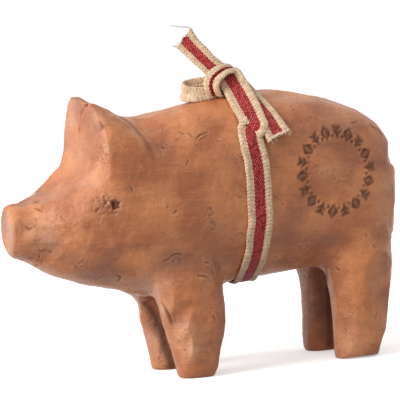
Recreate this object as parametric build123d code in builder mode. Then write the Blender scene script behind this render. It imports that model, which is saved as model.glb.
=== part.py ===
from build123d import *
from math import cos, pi, radians, sin, tan
import os

os.makedirs("parts", exist_ok=True)

# A hand-formed clay pig, nose towards -X, standing on the XY plane, with a woven ribbon
# tied round its belly. Lengths are in millimetres, angles in degrees. Places along the
# body are shares of its length, counted from the nose.

# Driving dimensions of the body
body_length = 156.0
back_height = 106.0
body_width = 52.0
head_turn = 4.0
neck_share = 0.33

# Driving dimensions of the legs: a leg's length and depth are those of its section where
# it is thickest, along and across the body.
leg_track = 30.0
leg_height = 58.0
front_leg_length = 27.0
front_leg_depth = 22.0
front_leg_place_share = 0.424
hind_leg_length = 29.0
hind_leg_depth = 23.0
hind_leg_place_share = 0.863

# Driving dimensions of the forehead, a flat cut that on its way to the far side turns towards
# the nose and rises
forehead_turn = 5.0
forehead_roll = 7.0

# Driving dimensions of the ears: each is cut off by the forehead, and its ridge runs back
ear_length = 19.0
ear_width = 20.0
ear_track = 18.4
ear_place_share = 0.2005
left_ear_rise = 27.6
right_ear_rise = 29.6

# Driving dimensions of the tail
tail_reach = 4.4
tail_depth = 10.5
tail_width = 8.0
tail_height_share = 0.665

# Driving dimensions of the eyes
eye_width = 3.2
eye_depth = 3.0
eye_place_share = 0.233
eye_height_share = 0.647

# Driving dimensions of the ribbon's belly band: where it lies half way up the body, how far
# it leans towards the head as it goes down and turns towards the rump as it goes round to
# the far side, and how far from the middle of the back it climbs off the clay.
ribbon_width = 10.0
ribbon_thickness = 1.0
band_place_share = 0.595
band_lean = 0.4
band_turn = 3.5
rise_start = 17.0
near_rise_bow = 2.2
far_rise_bow = 1.0

# Driving dimensions of the knot: the tied lump, the wrap round it, and how far its middle
# lies to the side that shows and above the highest point of the back.
knot_width = 9.0
knot_depth = 10.0
knot_length = 7.5
knot_tilt = 38.0
knot_place_share = 0.577
knot_side = 2.5
knot_rise = 4.6
wrap_width = 5.0
wrap_thickness = 1.5

# Driving dimensions of the loose ends and the curl, each placed from the knot's middle.
# The ribbon faces the side that shows, turned by this much towards the nose.
facing_turn = 21.0
upper_tail_forward = 13.6
upper_tail_away = 5.5
upper_tail_rise = 16.6
upper_tail_bow = 0.6
lower_tail_rearward = 11.5
lower_tail_toward = 23.4
lower_tail_fall = 22.0
lower_tail_tilt = 35.0
lower_tail_bow = 4.2
lower_tail_root_back = 4.0
lower_tail_root_drop = 3.8
loop_forward = 12.2
loop_away = 1.0
loop_fall = 2.6
loop_length = 10.0
loop_depth = 9.0
loop_width = 7.0

# Sections of the body from the nose to the rump: place along the body as a share of its
# length, top and bottom as shares of the back's height, half width as a share of the
# body's, then how square the upper and the lower half are (2 is an ellipse).
body_section_shares = (
    (0.000, 0.654, 0.484, 0.395, 2.0, 2.0),
    (0.010, 0.664, 0.472, 0.440, 2.0, 2.0),
    (0.034, 0.668, 0.457, 0.485, 2.0, 2.1),
    (0.060, 0.683, 0.436, 0.530, 1.8, 2.1),
    (0.098, 0.729, 0.401, 0.648, 1.7, 2.1),
    (0.136, 0.784, 0.378, 0.772, 1.8, 2.1),
    (0.175, 0.840, 0.357, 0.868, 2.1, 2.1),
    (0.226, 0.887, 0.333, 0.945, 2.6, 2.1),
    (0.290, 0.922, 0.307, 0.996, 2.4, 2.1),
    (0.367, 0.945, 0.290, 1.010, 2.3, 2.2),
    (0.444, 0.966, 0.293, 1.005, 2.3, 2.3),
    (0.546, 0.988, 0.305, 1.000, 2.4, 2.3),
    (0.662, 1.000, 0.322, 1.000, 2.5, 2.4),
    (0.764, 0.982, 0.334, 1.000, 2.6, 2.5),
    (0.854, 0.945, 0.342, 0.975, 2.7, 2.6),
    (0.918, 0.895, 0.352, 0.915, 2.8, 2.8),
    (0.964, 0.834, 0.378, 0.765, 2.8, 2.8),
    (0.988, 0.772, 0.430, 0.580, 2.7, 2.7),
    (1.000, 0.705, 0.500, 0.370, 2.6, 2.6),
)
snout_share = body_section_shares[0][3]

# Profile of the forehead's cut at the middle of the head, from above the snout up past the
# ears: place along the body as a share of its length, height as a share of the back's
forehead_profile_shares = (
    (0.080, 0.715),
    (0.128, 0.708),
    (0.163, 0.742),
    (0.185, 0.771),
    (0.205, 0.820),
    (0.206, 0.925),
    (0.195, 1.060),
    (0.195, 1.200),
    (0.080, 1.200),
)
section_points = 16
ring_points = 12

# The outermost corner of the turned snout lies as far in front of the origin as the tip of
# the tail lies behind it.
body_half_width = body_width / 2
snout_corner = snout_share * body_half_width * sin(radians(head_turn))
nose_x = (snout_corner - body_length - tail_reach) / 2
rump_x = nose_x + body_length
neck_x = nose_x + neck_share * body_length
overrun = body_width


def station(place_share):
    """Upright plane across the body at a place along it, turned with the head before the neck."""
    place = place_share * body_length
    before_neck = neck_share * body_length - place
    if before_neck <= 0:
        return Plane(origin=(nose_x + place, 0, 0), x_dir=(0, 1, 0), z_dir=(1, 0, 0))
    turn = radians(head_turn)
    origin = (neck_x - before_neck * cos(turn), before_neck * sin(turn), 0)
    return Plane(origin=origin, x_dir=(sin(turn), cos(turn), 0), z_dir=(cos(turn), -sin(turn), 0))


def rounded(value, squareness):
    """One coordinate of a unit superellipse, from the sine or cosine of its angle."""
    size = abs(value) ** (2 / squareness)
    return size if value >= 0 else -size


def body_section(top, bottom, half_width, upper_squareness, lower_squareness):
    """Closed outline of the body at one station."""
    middle = (top + bottom) / 2
    half_height = (top - bottom) / 2
    points = []
    for index in range(section_points):
        angle = 2 * pi * index / section_points
        squareness = upper_squareness if sin(angle) >= 0 else lower_squareness
        across = half_width * rounded(cos(angle), squareness)
        height = middle + half_height * rounded(sin(angle), squareness)
        points.append((across, height))
    Spline(*points, periodic=True)


def ring_section(half_length, half_depth, squareness):
    """Closed superelliptic outline about the middle of its plane."""
    points = []
    for index in range(ring_points):
        angle = 2 * pi * index / ring_points
        along = half_length * rounded(cos(angle), squareness)
        across = half_depth * rounded(sin(angle), squareness)
        points.append((along, across))
    Spline(*points, periodic=True)


def forehead_cut():
    """The block in front of the flat forehead, wider than the body."""
    nose_plane = station(0)
    turn = radians(forehead_turn)
    across = Vector(-sin(turn), cos(turn), tan(radians(forehead_roll)))
    with BuildPart() as form:
        with BuildSketch(Plane(origin=nose_plane.origin, x_dir=nose_plane.z_dir, z_dir=-nose_plane.x_dir)):
            Polygon(
                *[(place * body_length, height * back_height) for place, height in forehead_profile_shares],
                align=None,
            )
        extrude(amount=body_width, dir=across, both=True)
    return form.part


def body_form(growth):
    """The whole roll of clay from nose to rump, with its sides grown by the given length."""
    with BuildPart() as form:
        for place, top, bottom, half, upper, lower in body_section_shares:
            with BuildSketch(station(place)):
                with BuildLine():
                    body_section(
                        top * back_height + growth,
                        bottom * back_height - growth,
                        half * body_half_width + growth,
                        upper,
                        lower,
                    )
                make_face()
        loft()
        add(forehead_block, mode=Mode.SUBTRACT)
    return form.part


forehead_block = forehead_cut()
clay_form = body_form(0)

# Torso, from the neck to the rump
with BuildPart() as torso:
    add(clay_form)
    split(bisect_by=station(neck_share), keep=Keep.TOP)
torso.part.label = "torso"
export_step(torso.part, "parts/torso.step")

# Head, with the flat snout and a poked pit on each side for an eye
eye_plane = station(eye_place_share)
eye_height = eye_height_share * back_height
cheek_share = 0.93
eye_bottom = cheek_share * body_half_width - eye_depth
with BuildPart() as head:
    add(clay_form)
    split(bisect_by=station(neck_share), keep=Keep.BOTTOM)
    for side in (-1, 1):
        pit_bottom = eye_plane.from_local_coords((side * eye_bottom, eye_height, 0))
        with BuildSketch(Plane(origin=pit_bottom, z_dir=eye_plane.x_dir * side)):
            Circle(eye_width / 2)
        extrude(amount=overrun, mode=Mode.SUBTRACT)
head.part.label = "head"
export_step(head.part, "parts/head.step")

# Sections of a leg from the sole up: height as a share of the leg's, length and depth as
# shares of its own, then how far its middle lies to the rear and inwards as shares of
# its length and depth.
front_leg_section_shares = (
    (0.000, 0.550, 0.560, 0.000, 0.000),
    (0.030, 0.600, 0.640, 0.000, 0.000),
    (0.140, 0.680, 0.740, 0.005, 0.000),
    (0.260, 0.800, 0.830, 0.000, 0.010),
    (0.400, 0.910, 0.930, -0.020, 0.030),
    (0.520, 0.980, 1.000, -0.055, 0.050),
    (0.700, 1.000, 1.000, -0.080, 0.100),
    (1.000, 0.700, 0.700, -0.080, 0.240),
)
hind_leg_section_shares = (
    (0.000, 0.560, 0.560, -0.080, 0.000),
    (0.030, 0.620, 0.650, -0.065, 0.000),
    (0.150, 0.700, 0.740, -0.030, 0.000),
    (0.290, 0.740, 0.830, 0.010, 0.010),
    (0.430, 0.810, 0.930, 0.040, 0.030),
    (0.560, 0.910, 1.000, 0.045, 0.050),
    (0.700, 1.000, 1.000, 0.025, 0.080),
    (1.000, 0.800, 0.700, -0.020, 0.240),
)
leg_squareness = 2.4


def leg_form(place_share, length, depth, side, section_shares):
    """One tapered leg, its sole on the ground and its top shaped to the torso."""
    with BuildPart() as form:
        for height, long, deep, rearward, inward in section_shares:
            along = nose_x + place_share * body_length + rearward * length
            across = side * (leg_track / 2 - inward * depth)
            with BuildSketch(Plane(origin=(along, across, height * leg_height))):
                with BuildLine():
                    ring_section(long * length / 2, deep * depth / 2, leg_squareness)
                make_face()
        loft()
        add(clay_form, mode=Mode.SUBTRACT)
    return form.part


for leg_name, place_share, length, depth, section_shares in (
    ("front_leg", front_leg_place_share, front_leg_length, front_leg_depth, front_leg_section_shares),
    ("hind_leg", hind_leg_place_share, hind_leg_length, hind_leg_depth, hind_leg_section_shares),
):
    for side_name, side in (("left", -1), ("right", 1)):
        with BuildPart() as leg:
            add(leg_form(place_share, length, depth, side, section_shares))
        leg.part.label = f"{leg_name}_{side_name}"
        export_step(leg.part, f"parts/{leg_name}_{side_name}.step")

# Sections of an ear from its root to its tip: height as a share of the ear's rise, length
# back from the front and width as shares of its own, then how far its middle lies outward
# as a share of its width.
ear_section_shares = (
    (0.000, 1.000, 1.080, 0.120),
    (0.280, 1.000, 1.050, 0.130),
    (0.555, 0.900, 0.930, 0.060),
    (0.740, 0.780, 0.700, 0.020),
    (0.870, 0.480, 0.380, 0.005),
    (1.000, 0.130, 0.120, 0.000),
)
ear_squareness = 2.6
ear_middle_share = 0.38
ear_root_share = 0.745
ear_front = station(ear_place_share)
rear_of_head = ear_front.z_dir
far_side_of_head = ear_front.x_dir


def ear_form(side, rise):
    """One ear, drawn up to a tip, cut off by the forehead and shaped to the head at its root."""
    with BuildPart() as form:
        for height, long, deep, outward in ear_section_shares:
            length = long * ear_length
            across = side * (ear_track / 2 + outward * ear_width)
            middle = ear_front.origin + rear_of_head * (ear_middle_share * length) + far_side_of_head * across
            middle = middle + Vector(0, 0, ear_root_share * back_height + height * rise)
            with BuildSketch(Plane(origin=middle, x_dir=rear_of_head, z_dir=(0, 0, 1))):
                with BuildLine():
                    ring_section((1 - ear_middle_share) * length, deep * ear_width / 2, ear_squareness)
                make_face()
        loft()
        add(forehead_block, mode=Mode.SUBTRACT)
        add(clay_form, mode=Mode.SUBTRACT)
    return form.part


for side_name, side, rise in (("left", -1, left_ear_rise), ("right", 1, right_ear_rise)):
    with BuildPart() as ear:
        add(ear_form(side, rise))
    ear.part.label = f"ear_{side_name}"
    export_step(ear.part, f"parts/ear_{side_name}.step")

# Tail, a short rounded stub on the rump: reach and size of each of its sections as shares
tail_section_shares = ((-1.0, 1.0), (0.0, 1.0), (0.5, 0.92), (0.82, 0.7), (1.0, 0.4))
tail_height = tail_height_share * back_height
with BuildPart() as tail:
    for reach, size in tail_section_shares:
        middle = (rump_x + reach * tail_reach, 0, tail_height)
        with BuildSketch(Plane(origin=middle, x_dir=(0, 1, 0), z_dir=(1, 0, 0))):
            Ellipse(size * tail_width / 2, size * tail_depth / 2)
    loft()
    add(clay_form, mode=Mode.SUBTRACT)
tail.part.label = "tail"
export_step(tail.part, "parts/tail.step")

# Belly band of the ribbon, lying on the clay and open at the back under the knot
band_height_share = 0.65
band_middle = (nose_x + band_place_share * body_length, 0, band_height_share * back_height)
band_across = (tan(radians(band_turn)), 1, 0)
band_normal = (1, -tan(radians(band_turn)), -tan(radians(band_lean)))
with BuildPart() as ribbon_band:
    add(body_form(ribbon_thickness))
    with BuildSketch(Plane(origin=band_middle, x_dir=band_across, z_dir=band_normal)):
        Rectangle(body_width + overrun, back_height + overrun)
    extrude(amount=ribbon_width / 2, both=True, mode=Mode.INTERSECT)
    add(clay_form, mode=Mode.SUBTRACT)
    with BuildSketch(Plane(origin=band_middle)):
        Rectangle(overrun, 2 * rise_start)
    extrude(amount=back_height, mode=Mode.SUBTRACT)
ribbon_band.part.label = "ribbon_band"
export_step(ribbon_band.part, "parts/ribbon_band.step")


def toward(turn, tilt):
    """Unit direction to the side that shows, turned towards the nose and tilted up."""
    level = cos(radians(tilt))
    return Vector(-level * sin(radians(turn)), -level * cos(radians(turn)), sin(radians(tilt)))


def tape_form(start, end, facing, bow):
    """A bent strip of the ribbon between two points, bowed towards the way it faces."""
    run = end - start
    length = run.length
    half = ribbon_thickness / 2
    with BuildPart() as form:
        with BuildSketch(Plane(origin=start, x_dir=run, z_dir=run.cross(facing))):
            with BuildLine():
                upper = ThreePointArc((0, half), (length / 2, bow + half), (length, half))
                lower = ThreePointArc((0, -half), (length / 2, bow - half), (length, -half))
                Line(upper @ 0, lower @ 0)
                Line(upper @ 1, lower @ 1)
            make_face()
        extrude(amount=ribbon_width / 2, both=True)
    return form.part


# Knot, a tied lump with a folded wrap of ribbon round its middle
knot_middle = Vector(nose_x + knot_place_share * body_length, -knot_side, back_height + knot_rise)
knot_plane = Plane(origin=knot_middle, z_dir=toward(-facing_turn / 2, -knot_tilt))
with BuildPart() as ribbon_knot:
    with BuildSketch(knot_plane):
        Ellipse(knot_width / 2, knot_depth / 2)
    extrude(amount=knot_length / 2, both=True)
    with BuildSketch(knot_plane):
        Ellipse(knot_width / 2 + wrap_thickness, knot_depth / 2 + wrap_thickness)
    extrude(amount=wrap_width / 2, both=True)
    add(clay_form, mode=Mode.SUBTRACT)
ribbon_knot.part.label = "ribbon_knot"
export_step(ribbon_knot.part, "parts/ribbon_knot.step")

# The ribbon's climb from each end of the band to the knot, cut level with the band's end
band_ends = ribbon_band.faces().filter_by(Axis.Y).sort_by(Axis.Y)
rises = {}
for rise_name, band_end, side, bow in (
    ("near", band_ends[0], -1, near_rise_bow),
    ("far", band_ends[-1], 1, far_rise_bow),
):
    end = Vector(band_end.center().X, knot_middle.Y + side * knot_length / 4, knot_middle.Z)
    climb = end - band_end.center()
    start = band_end.center() - climb.normalized() * ribbon_thickness
    with BuildPart() as rise:
        add(tape_form(start, end, Vector(0, side, 1), bow))
        split(bisect_by=Plane(origin=band_end.center(), z_dir=(0, -side, 0)), keep=Keep.TOP)
        add(clay_form, mode=Mode.SUBTRACT)
        add(ribbon_knot.part, mode=Mode.SUBTRACT)
    rises[rise_name] = rise.part
    rise.part.label = f"ribbon_{rise_name}_rise"
    export_step(rise.part, f"parts/ribbon_{rise_name}_rise.step")

# Upper tail, standing up towards the head
upper_end = knot_middle + Vector(-upper_tail_forward, upper_tail_away, upper_tail_rise)
with BuildPart() as ribbon_upper_tail:
    add(tape_form(knot_middle, upper_end, toward(facing_turn, 0), upper_tail_bow))
    add(ribbon_knot.part, mode=Mode.SUBTRACT)
    add(rises["far"], mode=Mode.SUBTRACT)
ribbon_upper_tail.part.label = "ribbon_upper_tail"
export_step(ribbon_upper_tail.part, "parts/ribbon_upper_tail.step")

# Lower tail, passing under the near climb and hanging over the side towards the rump
lower_start = knot_middle + Vector(lower_tail_root_back, 0, -lower_tail_root_drop)
lower_end = knot_middle + Vector(lower_tail_rearward, -lower_tail_toward, -lower_tail_fall)
with BuildPart() as ribbon_lower_tail:
    add(tape_form(lower_start, lower_end, toward(0, lower_tail_tilt), lower_tail_bow))
    add(clay_form, mode=Mode.SUBTRACT)
    add(ribbon_knot.part, mode=Mode.SUBTRACT)
    add(rises["near"], mode=Mode.SUBTRACT)
    add(ribbon_band.part, mode=Mode.SUBTRACT)
ribbon_lower_tail.part.label = "ribbon_lower_tail"
export_step(ribbon_lower_tail.part, "parts/ribbon_lower_tail.step")

# Curl of ribbon turned over in front of the knot, resting on the back
loop_middle = knot_middle + Vector(-loop_forward, loop_away, -loop_fall)
with BuildPart() as ribbon_loop:
    with BuildSketch(Plane(origin=loop_middle, z_dir=toward(facing_turn, 0))):
        Ellipse(loop_length / 2, loop_depth / 2)
        Ellipse(loop_length / 2 - ribbon_thickness, loop_depth / 2 - ribbon_thickness, mode=Mode.SUBTRACT)
    extrude(amount=loop_width / 2, both=True)
    add(clay_form, mode=Mode.SUBTRACT)
    add(ribbon_knot.part, mode=Mode.SUBTRACT)
    add(ribbon_upper_tail.part, mode=Mode.SUBTRACT)
ribbon_loop.part.label = "ribbon_loop"
export_step(ribbon_loop.part, "parts/ribbon_loop.step")
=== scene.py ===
from math import cos, pi, radians, sin

import bmesh
import bpy
import numpy as np
from mathutils import Matrix, Vector, noise
from mathutils.bvhtree import BVHTree


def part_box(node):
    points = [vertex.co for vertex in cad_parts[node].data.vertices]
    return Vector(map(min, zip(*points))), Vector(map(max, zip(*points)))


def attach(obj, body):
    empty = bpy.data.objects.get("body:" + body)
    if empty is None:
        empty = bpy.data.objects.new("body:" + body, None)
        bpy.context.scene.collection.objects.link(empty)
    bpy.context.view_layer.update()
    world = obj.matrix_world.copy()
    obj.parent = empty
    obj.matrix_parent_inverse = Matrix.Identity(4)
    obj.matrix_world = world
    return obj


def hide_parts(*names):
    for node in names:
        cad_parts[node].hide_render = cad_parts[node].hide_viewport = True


# The pig's clay body is one sculpted mesh over the packed clay nodes, and the ribbon is built
# stretch by stretch from its own woven tape. Sculpting works in millimetres, Blender in metres.

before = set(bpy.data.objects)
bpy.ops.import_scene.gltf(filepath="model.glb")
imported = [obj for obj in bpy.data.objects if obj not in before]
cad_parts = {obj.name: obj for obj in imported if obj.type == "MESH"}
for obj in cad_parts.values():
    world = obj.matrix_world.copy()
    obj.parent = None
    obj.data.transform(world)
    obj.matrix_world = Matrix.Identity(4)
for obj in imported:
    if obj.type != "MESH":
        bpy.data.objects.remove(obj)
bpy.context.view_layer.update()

MM = 0.001
PHOTO_SIDE = 400

TRUNK_NODES = ("torso", "head")
LIMB_NODES = ("front_leg_left", "front_leg_right", "hind_leg_left", "hind_leg_right", "tail")
CLAY_NODES = TRUNK_NODES + LIMB_NODES + ("ear_left", "ear_right")

# Sculpting, in millimetres: the skin's mesh, the smoothing of joins, and the most that is pressed in
VOXEL = 0.5
JOIN_REACH = 9
TAIL_JOIN_REACH = 3
JOIN_ROUNDS = 120
EASE_WEIGHT = 0.8
FACETS = 150
TRIM_LIMIT = 4
FLAT_LIMIT = 2.4
FACET_LIMIT = 0.9
# Size and strength of the clay's wandering, from broad to fine
WANDER = ((16, 0.5), (6, 0.18), (2.6, 0.1), (1.3, 0.05))
# A groove's lip in its widths and depths, how far its ends fade, and how dark it gets
LIP_SHARE = 1.9
LIP_HEIGHT = 0.22
END_TAPER = 0.6
BURN_STRENGTH = 1.6
DARK_LEAST = 0.25
# How far a patch of colour reaches as it fades, as a multiple of its radius
PATCH_EDGE = 1.6

# Camera, at the photograph's viewing angle, with its target and distance in metres
CAMERA_AZIMUTH = radians(-21.0)
CAMERA_ELEVATION = radians(4.4)
CAMERA_ROLL = radians(-3.9)
CAMERA_TARGET = Vector((-2.64, 0.0, 65.4)) * MM
CAMERA_DISTANCE = 1.0
CAMERA_LENS = 233.8
CAMERA_SENSOR = 36.0


def camera_axes():
    """Right, up and back directions of the camera."""
    level = cos(CAMERA_ELEVATION)
    back = Vector((sin(CAMERA_AZIMUTH) * level, -cos(CAMERA_AZIMUTH) * level, sin(CAMERA_ELEVATION)))
    right = Vector((cos(CAMERA_AZIMUTH), sin(CAMERA_AZIMUTH), 0.0))
    up = back.cross(right)
    turned_right = right * cos(CAMERA_ROLL) + up * sin(CAMERA_ROLL)
    turned_up = up * cos(CAMERA_ROLL) - right * sin(CAMERA_ROLL)
    return turned_right, turned_up, back


def new_object(name, data):
    """An object of the scene."""
    made = bpy.data.objects.new(name, data)
    bpy.context.scene.collection.objects.link(made)
    return made


def make_camera():
    """Camera object, made the scene's own."""
    right, up, back = camera_axes()
    data = bpy.data.cameras.new("camera")
    data.lens = CAMERA_LENS
    data.sensor_width = CAMERA_SENSOR
    data.clip_end = 50
    camera = new_object("camera", data)
    camera.matrix_world = Matrix((right, up, back)).transposed().to_4x4()
    camera.location = CAMERA_TARGET + back * CAMERA_DISTANCE
    bpy.context.scene.camera = camera


def sight_line(across, down):
    """Start and direction, in millimetres, of the line of sight through a place in the photograph."""
    right, up, back = camera_axes()
    focal = CAMERA_LENS / CAMERA_SENSOR * PHOTO_SIDE
    half = PHOTO_SIDE / 2
    direction = right * (across - half) + up * (half - down) - back * focal
    return (CAMERA_TARGET + back * CAMERA_DISTANCE) / MM, direction.normalized()


def falloff(distance, radius):
    """Smooth weight that is 1 at no distance and 0 from the radius on."""
    share = np.clip(1 - distance / radius, 0, 1)
    return share * share * (3 - 2 * share)


def unit(rows):
    """Rows made one long."""
    return rows / np.maximum(np.linalg.norm(rows, axis=-1, keepdims=True), 1e-12)


def line_distance(points, line):
    """Distance of each point from a line of straight runs, and how far along it that is, from 0 to 1."""
    line = np.asarray(line, float)
    best = np.full(len(points), 1e9)
    place = np.zeros(len(points))
    runs = len(line) - 1
    for index in range(runs):
        start, run = line[index], line[index + 1] - line[index]
        share = np.clip((points - start) @ run / (run @ run), 0, 1)
        distance = np.linalg.norm(points - start - share[:, None] * run, axis=1)
        nearer = distance < best
        best = np.where(nearer, distance, best)
        place = np.where(nearer, (index + share) / runs, place)
    return best, place


def read_all(items, name, width, kind):
    """One value, or a few, of every item of a mesh."""
    values = np.empty(len(items) * width, kind)
    items.foreach_get(name, values)
    return values


class Clay:
    """Points, faces and edges of the clay while it is sculpted, in millimetres."""

    def __init__(self, mesh):
        self.points = read_all(mesh.vertices, "co", 3, float).reshape(-1, 3) / MM
        self.quads = read_all(mesh.loops, "vertex_index", 1, int).reshape(-1, 4)
        self.edges = read_all(mesh.edges, "vertices", 2, int).reshape(-1, 2)
        self.count = len(self.points)
        self.degree = np.bincount(self.edges.ravel(), minlength=self.count)
        self.dark, self.burnt, self.worn = np.zeros((3, self.count))
        self.tree = None

    def around(self, values):
        """Mean over each point's neighbours."""
        first, second = self.edges.T
        total = np.empty_like(values)
        for axis in range(values.shape[1]):
            column = values[:, axis]
            total[:, axis] = np.bincount(first, column[second], self.count)
            total[:, axis] += np.bincount(second, column[first], self.count)
        return total / self.degree[:, None]

    def smooth(self, rounds, weight=0.5):
        """Evens the surface, everywhere or by a weight for each point."""
        weight = np.broadcast_to(np.asarray(weight, float), self.count)[:, None]
        for _ in range(rounds):
            self.points += weight * (self.around(self.points) - self.points)

    def normals(self):
        """Outward direction at each point."""
        a, b, c, d = (self.points[self.quads[:, corner]] for corner in range(4))
        face = np.cross(c - a, d - b)
        total = np.zeros((self.count, 3))
        for axis in range(3):
            for corner in range(4):
                total[:, axis] += np.bincount(self.quads[:, corner], face[:, axis], self.count)
        return unit(total)

    def settle(self):
        """Keeps the surface as it is now, for features to be placed on."""
        self.tree = BVHTree.FromPolygons(self.points.tolist(), self.quads.tolist())

    def seen_at(self, across, down):
        """Place on the clay that the photograph shows at these pixels, and its outward direction."""
        start, direction = sight_line(across, down)
        place, normal, _, _ = self.tree.ray_cast(start, direction)
        if place is None:
            place, normal, _, _ = self.tree.find_nearest(start + direction * CAMERA_DISTANCE / MM)
        return np.array(place), np.array(normal)

    def inward(self, place):
        """Direction into the clay at a place."""
        return -np.array(self.tree.find_nearest(place)[1])

    def near(self, middle, reach):
        """Which points lie within a box about a place."""
        return np.nonzero(np.all(np.abs(self.points - middle) < reach, axis=1))[0]


# Near and far edges of the flat forehead, from between the ears down to the top of the snout, the
# way down and back through the clay under it, the box that is cut, and how the cut fades out
NEAR_BROW = (
    (-48.6, -9, 105), (-47.2, -17.5, 98), (-47, -21, 87.5), (-49.6, -20.2, 80.8), (-53.4, -17.5, 76.6),
    (-58.8, -14, 72.9), (-65.5, -11, 70.9), (-73, -8.5, 70.2),
)
FAR_BROW = (
    (-49.8, 8, 107), (-49.4, 16.5, 99), (-50.2, 19.5, 88), (-52.6, 18, 83.2), (-55.6, 16.5, 81),
    (-60.9, 13.7, 77), (-66.8, 10.5, 73.3), (-73, 7.5, 71),
)
BROW_DEPTH = Vector((9, 0, -9))
CUT_MIDDLE = (-62, 0, 92)
CUT_REACH = (22, 34, 26)
CUT_END = 74
CUT_FADE = 9

# Crest of clay between the two ears
CREST = (
    (-50, 8.5, 108.4), (-46, 8.5, 107.8), (-48.8, -9, 106.2), (-45.4, -9, 105.6), (-50, 8.5, 97),
    (-40, 8.5, 99), (-48.8, -9, 97), (-40, -9, 99),
)

# Corners of the near and the far ear, each with the part of the cheek that it grows out of
NEAR_EAR = (
    (-48.7, -9.2, 107), (-46.5, -9, 106.9), (-43.6, -9, 105.6), (-39, -9, 103.4), (-35.2, -9, 101.4),
    (-32, -8, 100.2), (-46, -16.5, 100), (-46.2, -19.8, 95.5), (-45.8, -22, 90.1), (-45.7, -22.7, 86),
    (-33.6, -16, 96.8), (-31, -21, 90.9), (-30, -23.2, 86.5), (-33, -24.8, 78), (-40, -24.6, 75),
    (-48, -22, 76), (-49.4, -3.5, 102.5), (-49, 0, 88), (-36, -3, 98.5), (-31, 0, 91),
)
FAR_EAR = (
    (-50.2, 8.5, 109.5), (-48.9, 10.5, 110.2), (-47.2, 9.5, 110), (-45.6, 9, 109.2), (-49.6, 13.5, 105.2),
    (-49.5, 17.8, 97.5), (-50.2, 19.9, 88), (-33, 12, 100), (-31, 17, 95), (-29, 21, 88), (-33, 23.5, 78),
    (-40, 23.5, 75), (-50, 20, 79), (-49.9, 2.5, 104.5), (-49.5, 1, 88), (-36, 3, 98.5), (-31, 0, 91),
)

# Clay that fills the dip of the neck behind the ears, front and rear half
NAPE_FRONT = (
    (-40, -7, 101), (-40, 8, 102), (-28.6, -7, 99.2), (-28.6, 7, 99.4), (-40, -14, 96), (-40, 14, 97),
    (-28.6, -14, 94.5), (-28.6, 14, 94.5), (-34, 0, 85),
)
NAPE_REAR = (
    (-28.8, -7, 99.1), (-28.8, 7, 99.3), (-12, -7, 101.2), (-12, 7, 101.4), (-28.8, -14, 94.4),
    (-28.8, 14, 94.4), (-12, -14, 96.5), (-12, 14, 96.5), (-22, 0, 85),
)

# The near eye: middle of its mouth, direction into the head, depth, and radii of rim and hole
EYE_PLACE = (-43.3, -23.4, 68.6)
EYE_INWARD = (0, 1, 0)
EYE_DEPTH = 1.1
EYE_RIM = 1.2
EYE_HOLE = 2.4
EYE_REACH = 4.5

# Fullness of the chest in front of the legs
CHEST = (
    (-42.7, -3, 35.8), (-39.9, 5, 34.9), (-38.3, -6, 33.8), (-33, 9, 32), (-29.5, 10, 30.3),
    (-32.6, -6, 30.8), (-27, 10, 28.9), (-28.1, -6, 29.4), (-22.3, 10, 27.4), (-43.2, -8, 42.2),
    (-37, 10, 40.2), (-29.4, -12, 41.1), (-20.1, 14, 38.2),
)

# Web of clay at the near front leg's root
LEG_WEB = (
    (-30, -11, 30.8), (-24.9, -13.5, 15.9), (-18.9, -12, 29.3), (-17.4, -12, 16.9), (-22.3, -5, 31.4),
    (-19.2, -5, 22.6), (-27.8, -17, 32.9), (-24.5, -18, 28.5),
)

# Seams that a thumb evens out: places along each, reach and rounds of smoothing
EASED = (
    (((-48, -22.5, 78), (-40, -24.2, 76), (-33, -24.4, 80)), 9, 60),
    (((-31, -24, 84), (-30, -21.5, 91), (-32.5, -16, 97), (-33, -8, 100.5)), 9, 90),
    (((-42, 23.5, 76), (-32, 23.5, 80)), 8, 60), (((-78.5, -9.5, 69.8), (-74, -10.5, 69.8)), 4.5, 60),
    (((-48.5, 9, 106.5), (-47, 17, 99), (-46.5, 21.5, 88)), 3.6, 9),
    (((-49.6, 20.5, 81.5), (-53.5, 17.8, 77), (-59, 14.5, 73)), 4, 10),
    (((-30, 22.5, 86), (-31, 17, 95), (-33, 10, 100.5)), 9, 90),
    (((-24, -12, 95), (-24, 0, 99), (-24, 12, 95)), 9, 40),
    (((-13, -13, 97), (-13, 0, 101), (-13, 13, 97)), 7, 40),
    (((-48.5, -9, 106.5), (-47, -17, 99), (-46.5, -21.5, 88)), 3.6, 9),
    (((-49.6, -20.5, 81.5), (-53.5, -17.8, 77), (-59, -14.5, 73)), 7, 60),
    (((-59, -14, 73), (-66, -11.5, 71), (-76, -10, 70)), 5, 40),
    (((-49.5, 8, 109.5), (-45, 9.5, 109)), 3.5, 12), (((-48.5, -9, 107), (-44, -9, 105.5)), 3, 6),
    (((-43.3, -22.7, 68.6), (-43.3, -23.7, 68.6)), 3.4, 5),
)

# Trims of the outline: place in the photograph, direction outwards in degrees from the right,
# and reach in millimetres
TRIMS = (
    (73.5, 96.6, 92, 4), (69.2, 99.5, 150, 2.5), (380.5, 127, 45, 11), (388, 142, 2, 10),
    (388.6, 153, 2, 4.5), (394.5, 215, 0, 17), (392.5, 262, -3, 12), (389, 305, -8, 14),
    (382.5, 338, -17, 8), (219.3, 358, -9, 8), (215.5, 372.5, -25, 4), (248, 279.5, -88, 9),
    (138.8, 309, 192, 5.6), (142.6, 330, 194, 7), (148.5, 352, 192, 8),
)

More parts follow.
